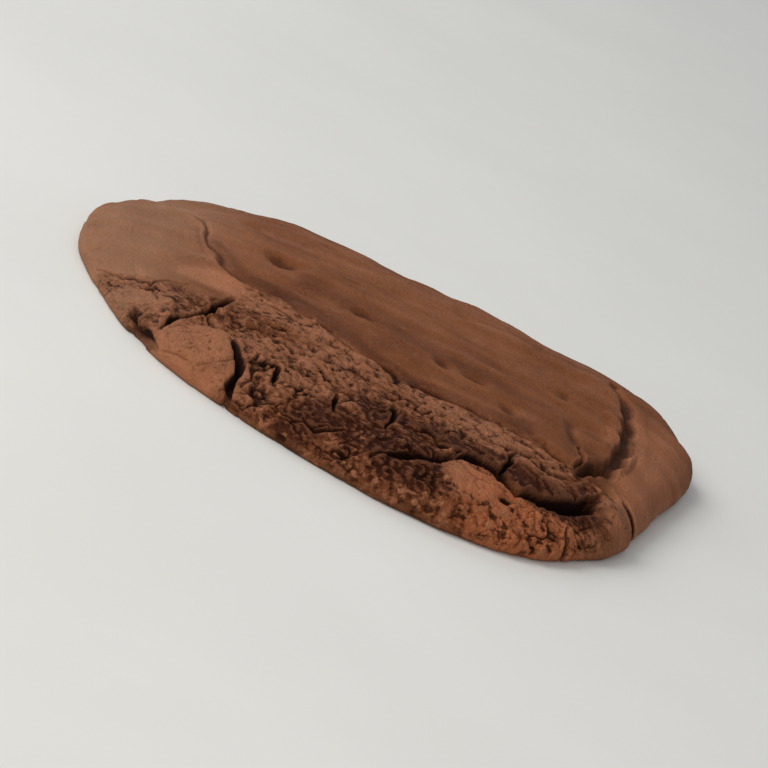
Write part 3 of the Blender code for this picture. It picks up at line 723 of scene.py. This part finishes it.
def tone_and_painted_light_at(points):
    """How pale (above 0.5) or dark (below 0.5) the crust is at each point: partly its own uneven bake, partly
    painted light and painted shade.
    """
    ragged = TONE_WANDER * noise_at(points, TONE_WANDER_SIZE, TONE_WANDER_SEED)
    tone_and_painted_light = np.zeros(len(points))
    for px, py, rx, ry, turn, amount in TONES_AND_PAINTED_LIGHT:
        away = across_oval(points[:, 0] + ragged, points[:, 1] - ragged, (px, py), (rx, ry), turn)
        tone_and_painted_light += amount * (1 - smoothstep(0.45, 1.25, away))
    # Bands of painted light and painted shade
    for route, half_width, amount in PAINTED_LIGHT_AND_SHADE_BANDS:
        away, _ = distance_to_route((points[:, 0] + ragged) / MM, (points[:, 1] - ragged) / MM, route)
        tone_and_painted_light += amount * (1 - smoothstep(0.3, 1.2, away / half_width))
    # Painted shade of the streaks: paler on their crests and darker in their troughs
    tone_and_painted_light += SKIN_STREAK_PAINTED_SHADE * skin_streaks(points)
    return 0.5 + 0.5 * np.clip(tone_and_painted_light, -1, 1)


def crust_points():
    """Points and faces of the base surface with all of the relief, and what the material needs at each
    point, from 0 to 1."""
    points, quads, lean, relief = base_surface()
    open_air = relief > 0
    base = points[open_air]
    fine, blocks, gap, rough = fine_relief(base)
    softened = np.zeros((len(points), 2))
    softened[open_air] = blocks
    edges = np.concatenate([quads[:, [0, 1]], quads[:, [1, 2]], quads[:, [2, 3]], quads[:, [3, 0]]])
    crumbs, speckle = smoothed(softened, edges, 1)[open_air].T
    fine += crumbs
    opened, walls = long_crack_depth(base)
    height = (relief_height(base) + fine * (1 - WALLS_CALMED * walls)) * relief[open_air]
    lean = lean[open_air]
    height = np.maximum(height, -DEEPEST_SHARE * (1 - lean) * base[:, 2] - DEEPEST_SIDE * lean)
    radius = np.maximum(np.hypot(base[:, 0], base[:, 1]), 1e-9)
    outward = height * lean + lip_push(base, radius) * relief[open_air]
    points[open_air, 0] += outward * base[:, 0] / radius
    points[open_air, 1] += outward * base[:, 1] / radius
    points[open_air, 2] += height * np.sqrt(1 - lean**2)
    held = {name: np.zeros(len(points)) for name in ("crumbly", "gap", "tone_and_painted_light", "speckle")}
    above = smoothstep(0, RIM_FADE, points[open_air, 2])
    held["crumbly"][open_air] = rough * relief[open_air] * above
    # The painted shade of the gaps, of the long cracks' floors and of the dimples
    gap = np.maximum(np.maximum(gap * (1 - walls), opened), GAP_DARKNESS["dimples"] * dimple_depth(base))
    held["gap"][open_air] = gap * relief[open_air] * above
    held["speckle"][:] = 0.5
    held["speckle"][open_air] = 0.5 + 0.5 * speckle * (1 - walls) * above
    # The tone carries the crust's own paler and darker bake together with painted light and painted shade
    held["tone_and_painted_light"][:] = 0.5
    held["tone_and_painted_light"][open_air] = 0.5 + (tone_and_painted_light_at(base) - 0.5) * above
    return points, quads, held


def thin_out(obj):
    """Keeps only the faces that the relief needs, and returns the new mesh."""
    full = obj.data
    obj.modifiers.new("Thin out", "DECIMATE").ratio = min(1, MOST_FACES / len(full.polygons))
    obj.data = bpy.data.meshes.new_from_object(obj.evaluated_get(bpy.context.evaluated_depsgraph_get()))
    obj.modifiers.clear()
    bpy.data.meshes.remove(full)
    return obj.data


def read(items, what, width=3, kind=np.float32):
    """One property of all of a mesh's vertices, edges or faces, as rows of that width."""
    values = np.empty(len(items) * width, kind)
    items.foreach_get(what, values)
    return values.reshape(-1, width)


def smoothed(values, edges, rounds):
    """Values averaged with their neighbours' that many times."""
    count = np.bincount(edges.ravel(), minlength=len(values)).astype(float)[:, None] + 1
    for _ in range(rounds):
        total = values.copy()
        for axis in range(values.shape[1]):
            total[:, axis] += np.bincount(edges[:, 0], values[edges[:, 1], axis], len(values))
            total[:, axis] += np.bincount(edges[:, 1], values[edges[:, 0], axis], len(values))
        values = total / count
    return values


def crust():
    """The visible piece, with what its material reads at each point."""
    points, quads, held = crust_points()
    points[:, 2] = np.maximum(points[:, 2], 0)
    fit_inside(points)
    obj = bpy.data.objects.new("cookie_crust", mesh_of("cookie_crust", points, triangles_of(quads)))
    bpy.context.scene.collection.objects.link(obj)
    mark_hollows(obj.data, held)
    for name, values in held.items():
        made = obj.data.attributes.new(name, "FLOAT", "POINT")
        made.data.foreach_set("value", values.astype(np.float32))
    mesh = thin_out(obj)
    places = np.clip(read(mesh.vertices, "co"), np.float32(cad_low), np.float32(cad_high))
    mesh.vertices.foreach_set("co", places.ravel())
    mesh.shade_smooth()
    mesh.polygons.foreach_set("use_smooth", read(mesh.polygons, "normal")[:, 2] > FACING_DOWN)
    return obj


def fit_inside(places):
    """Moves the points so that their box stays inside the solid's and shares its middle."""
    low, high = np.array(cad_low), np.array(cad_high)
    places[:, :2] -= (places[:, :2].min(axis=0) + places[:, :2].max(axis=0)) / 2
    share = np.minimum(1, (high - low) / np.ptp(places, axis=0))
    places *= share


def mark_hollows(mesh, held):
    """Adds how deep each point lies in a hollow (above 0.5) or stands on a ridge (below 0.5)."""
    places = read(mesh.vertices, "co").astype(float)
    normals = read(mesh.vertices, "normal").astype(float)
    edges = read(mesh.edges, "vertices", 2, np.int32)
    above = smoothstep(0, RIM_FADE, places[:, 2])
    for name, rounds, scale in HOLLOWS:
        depth = ((smoothed(places, edges, rounds) - places) * normals).sum(axis=1) / scale * above
        held[name] = np.clip(0.5 + 0.5 * depth, 0, 1)


# Places of the Mix node's sockets that belong to colours
MIX_SHARE, MIX_A, MIX_B, MIX_RESULT = 0, 6, 7, 2


class Nodes:
    """Short calls for a material's nodes."""

    def __init__(self, name):
        self.material = bpy.data.materials.new(name)
        self.material.use_nodes = True
        self.tree = self.material.node_tree
        self.shader = self.tree.nodes["Principled BSDF"]
        self.place = self.add("TexCoord").outputs["Object"]

    def add(self, kind, **settings):
        """A new node of that kind with those settings."""
        node = self.tree.nodes.new("ShaderNode" + kind)
        for name, value in settings.items():
            setattr(node, name, value)
        return node

    def feed(self, socket, value):
        """Links an output to a socket, or sets the socket to a number or a colour."""
        if isinstance(value, bpy.types.NodeSocket):
            self.tree.links.new(value, socket)
        else:
            socket.default_value = (*value, 1) if isinstance(value, tuple) else value

    def noise(self, size, detail=4.0, roughness=0.55):
        """Smooth noise from 0 to 1, with bumps of that size."""
        node = self.add("TexNoise")
        for socket, value in (("Vector", self.place), ("Scale", 1 / size), ("Detail", detail),
                              ("Roughness", roughness)):
            self.feed(node.inputs[socket], value)
        return node.outputs["Fac"]

    def cells(self, size):
        """An even random value from 0 to 1 for each uneven cell of that size."""
        node = self.add("TexVoronoi")
        self.feed(node.inputs["Vector"], self.place)
        self.feed(node.inputs["Scale"], 1 / size)
        apart = self.add("SeparateColor")
        self.feed(apart.inputs["Color"], node.outputs["Color"])
        return apart.outputs["Red"]

    def held(self, name):
        """What the mesh holds at each point under that name."""
        return self.add("Attribute", attribute_name=name).outputs["Fac"]

    def between(self, value, low, high, start=0.0, end=1.0, kind="SMOOTHSTEP"):
        """Start where the value is low, end where it is high, and a rise between them."""
        node = self.add("MapRange", interpolation_type=kind)
        for socket, fed in (("Value", value), ("From Min", low), ("From Max", high), ("To Min", start),
                            ("To Max", end)):
            self.feed(node.inputs[socket], fed)
        return node.outputs["Result"]

    def combine(self, kind, a, b):
        """One operation of the Math node on two values."""
        node = self.add("Math", operation=kind)
        for socket, value in zip(node.inputs, (a, b)):
            self.feed(socket, value)
        return node.outputs[0]

    def centred(self, value, contrast):
        """A value from 0 to 1 turned into one round 0, with that contrast."""
        return self.combine("MULTIPLY", self.combine("SUBTRACT", value, 0.5), contrast)

    def mix(self, share, a, b):
        """Colour a with that share of colour b."""
        node = self.add("Mix", data_type="RGBA")
        for socket, value in ((MIX_SHARE, share), (MIX_A, a), (MIX_B, b)):
            self.feed(node.inputs[socket], value)
        return node.outputs[MIX_RESULT]

    def marked(self, colour, marks):
        """A colour with patches and spots of other colours."""
        for size, detail, roughness, low, high, share, other in marks:
            here = self.between(self.noise(size, detail, roughness), low, high, 0.0, share)
            colour = self.mix(here, colour, other)
        return colour


def crust_material():
    """Skin and crumb with layers of colour, some of them painted light and painted shade, and a roughness and
    fine grain that follow them.
    """
    n = Nodes("baked_crust")
    crumbly, tone_and_painted_light, gap = n.held("crumbly"), n.held("tone_and_painted_light"), n.held("gap")

    def less_on_skin(value, left):
        """The value as it is on crumbs, and that share of it on smooth skin."""
        return n.combine("MULTIPLY", value, n.between(crumbly, 0.0, ALL_CRUMBS, left, 1.0))

    grains = n.centred(n.held("speckle"), SPECKLE_CONTRAST)
    for size, contrast in GRAINS:
        grains = n.combine("ADD", grains, n.centred(n.cells(size), contrast))
    grains = n.combine("ADD", grains, n.between(tone_and_painted_light, 0.45, 0.05, 0.0, GRAINS_DARKER))
    grains = less_on_skin(grains, GRAINS_LEFT_SKIN)
    grains = n.combine("MULTIPLY", grains, n.between(tone_and_painted_light, 0.0, 0.6, GRAINS_LEFT_DARK, 1.0))

    plan = n.add("SeparateXYZ")
    n.feed(plan.inputs["Vector"], n.place)
    x, y = plan.outputs["X"], plan.outputs["Y"]
    # Where the painted light on the near right rim goes
    painted_light_near_right = n.combine("MULTIPLY", n.between(x, *PAINTED_LIGHT_NEAR_RIGHT_X), n.between(y, *PAINTED_LIGHT_NEAR_RIGHT_Y))
    followed = {"tone_and_painted_light": tone_and_painted_light, "x": x, "painted_light_near_right": painted_light_near_right, "grains": grains, "gap": gap}
    for name, _, _ in HOLLOWS:
        followed[name] = n.held(name)

    colour = n.mix(crumbly, n.marked(SKIN, SKIN_MARKS), n.marked(CRUMB, CRUMB_MARKS))
    for name, (what, low, high, share, left, kind, other) in LAYERS.items():
        here = n.between(followed[what], low, high, 0.0, share, kind)
        if left < 1:
            here = less_on_skin(here, left)
        colour = n.mix(here, colour, other)
        colour.node.label = name
    n.feed(n.shader.inputs["Base Color"], colour)

    dull = n.between(n.noise(ROUGHNESS_SIZE, 5, 0.6), 0.3, 0.7, *ROUGHNESS)
    dull = n.combine("ADD", dull, n.combine("MULTIPLY", crumbly, ROUGHER_CRUMBS))
    dull = n.combine("ADD", dull, n.between(gap, 0.2, 0.9, 0.0, ROUGHER_GAPS))
    n.feed(n.shader.inputs["Roughness"], dull)
    n.shader.inputs["Specular IOR Level"].default_value = SPECULAR

    grain = n.add("Bump")
    grain.inputs["Strength"].default_value = BUMP_STRENGTH
    grain.inputs["Distance"].default_value = BUMP_DEPTH
    finer = n.combine("MULTIPLY", n.noise(*BUMP_FINE_NOISE), BUMP_FINE_SHARE)
    tiny = less_on_skin(n.combine("ADD", n.noise(*BUMP_NOISE), finer), BUMP_LEFT_SKIN)
    n.feed(grain.inputs["Height"], tiny)
    n.feed(n.shader.inputs["Normal"], grain.outputs["Normal"])
    return n.material


cookie = crust()
cookie.data.materials.append(crust_material())
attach(cookie, "root")
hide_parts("cookie")

# Camera: the photograph's angle to the cookie's top, turned so that it lies as it does there
ELEVATION = math.radians(16.5)
ROLL = math.radians(26.14)
DISTANCE = 0.5556
# Point that it aims at, and how far beside that the photograph's centre lies in its pixels
AIM = Vector((0.00048, 0.00182, 0.004))
PIXEL_OFFSET = (3.3, 10.2)
# Focal length in the photograph's pixels, how much larger the cookie shows here, and size of the render
PHOTO_FOCAL = 1563
ZOOM = 2.4
PIXELS = 768
SENSOR_WIDTH = 36
NEAREST = 0.01
WORLD_COLOUR = (0.84, 0.87, 0.90)
WORLD_STRENGTH = 0.46
# The floor lies a hair under the cookie, so that the two faces never lie in each other
FLOOR_AT = -0.05 * MM
FLOOR_REACH = 3
FLOOR_COLOURS = ((0.70, 0.685, 0.65), (0.73, 0.715, 0.68))
FLOOR_PATCHES = 0.08
FLOOR_ROUGHNESS = 0.6

back = Vector((0, -math.cos(ELEVATION), math.sin(ELEVATION)))
turn = (-back).to_track_quat("-Z", "Y") @ Quaternion((0, 0, 1), ROLL)
across, upward, outward = (turn @ Vector(axis) for axis in ((1, 0, 0), (0, 1, 0), (0, 0, 1)))
aim = AIM - (across * PIXEL_OFFSET[0] + upward * PIXEL_OFFSET[1]) * DISTANCE / PHOTO_FOCAL
lens = bpy.data.cameras.new("camera")
lens.sensor_width = SENSOR_WIDTH
lens.lens = PHOTO_FOCAL * ZOOM / PIXELS * SENSOR_WIDTH
lens.clip_start = NEAREST
camera = bpy.data.objects.new("camera", lens)
camera.location = aim + back * DISTANCE
camera.rotation_mode = "QUATERNION"
camera.rotation_quaternion = turn
bpy.context.scene.collection.objects.link(camera)
bpy.context.scene.camera = camera


def area_light(name, way, distance, size, watts, colour):
    """A square light that stands that way from the cookie and faces it."""
    light = bpy.data.lights.new(name, "AREA")
    light.size = size
    light.energy = watts
    light.color = colour
    obj = bpy.data.objects.new(name, light)
    obj.location = way.normalized() * distance
    obj.rotation_mode = "QUATERNION"
    obj.rotation_quaternion = way.to_track_quat("Z", "Y")
    bpy.context.scene.collection.objects.link(obj)


area_light("key", way=upward * 0.80 + outward * 0.45 - across * 0.38,
           distance=0.8, size=0.45, watts=4.0, colour=(1.0, 0.985, 0.96))
area_light("fill", way=outward * 0.95 + upward * 0.10 - across * 0.10,
           distance=0.9, size=0.6, watts=2.6, colour=(1.0, 0.98, 0.95))
area_light("window", way=Vector((-0.70, 0.62, 0.40)),
           distance=0.9, size=0.5, watts=2.8, colour=(0.96, 0.98, 1.0))

world = bpy.data.worlds.new("studio")
world.use_nodes = True
background = world.node_tree.nodes["Background"]
background.inputs["Color"].default_value = (*WORLD_COLOUR, 1)
background.inputs["Strength"].default_value = WORLD_STRENGTH
bpy.context.scene.world = world
bpy.context.scene.view_settings.view_transform = "Standard"


def floor():
    """A wide pale floor with faint patches."""
    corners = ((-1, -1), (1, -1), (1, 1), (-1, 1))
    mesh = bpy.data.meshes.new("floor")
    mesh.from_pydata([(FLOOR_REACH * x, FLOOR_REACH * y, FLOOR_AT) for x, y in corners], [], [(0, 1, 2, 3)])
    n = Nodes("pale_floor")
    n.feed(n.shader.inputs["Base Color"], n.mix(n.between(n.noise(FLOOR_PATCHES), 0.3, 0.7), *FLOOR_COLOURS))
    n.shader.inputs["Roughness"].default_value = FLOOR_ROUGHNESS
    mesh.materials.append(n.material)
    obj = bpy.data.objects.new("floor", mesh)
    bpy.context.scene.collection.objects.link(obj)
    return obj


floor()
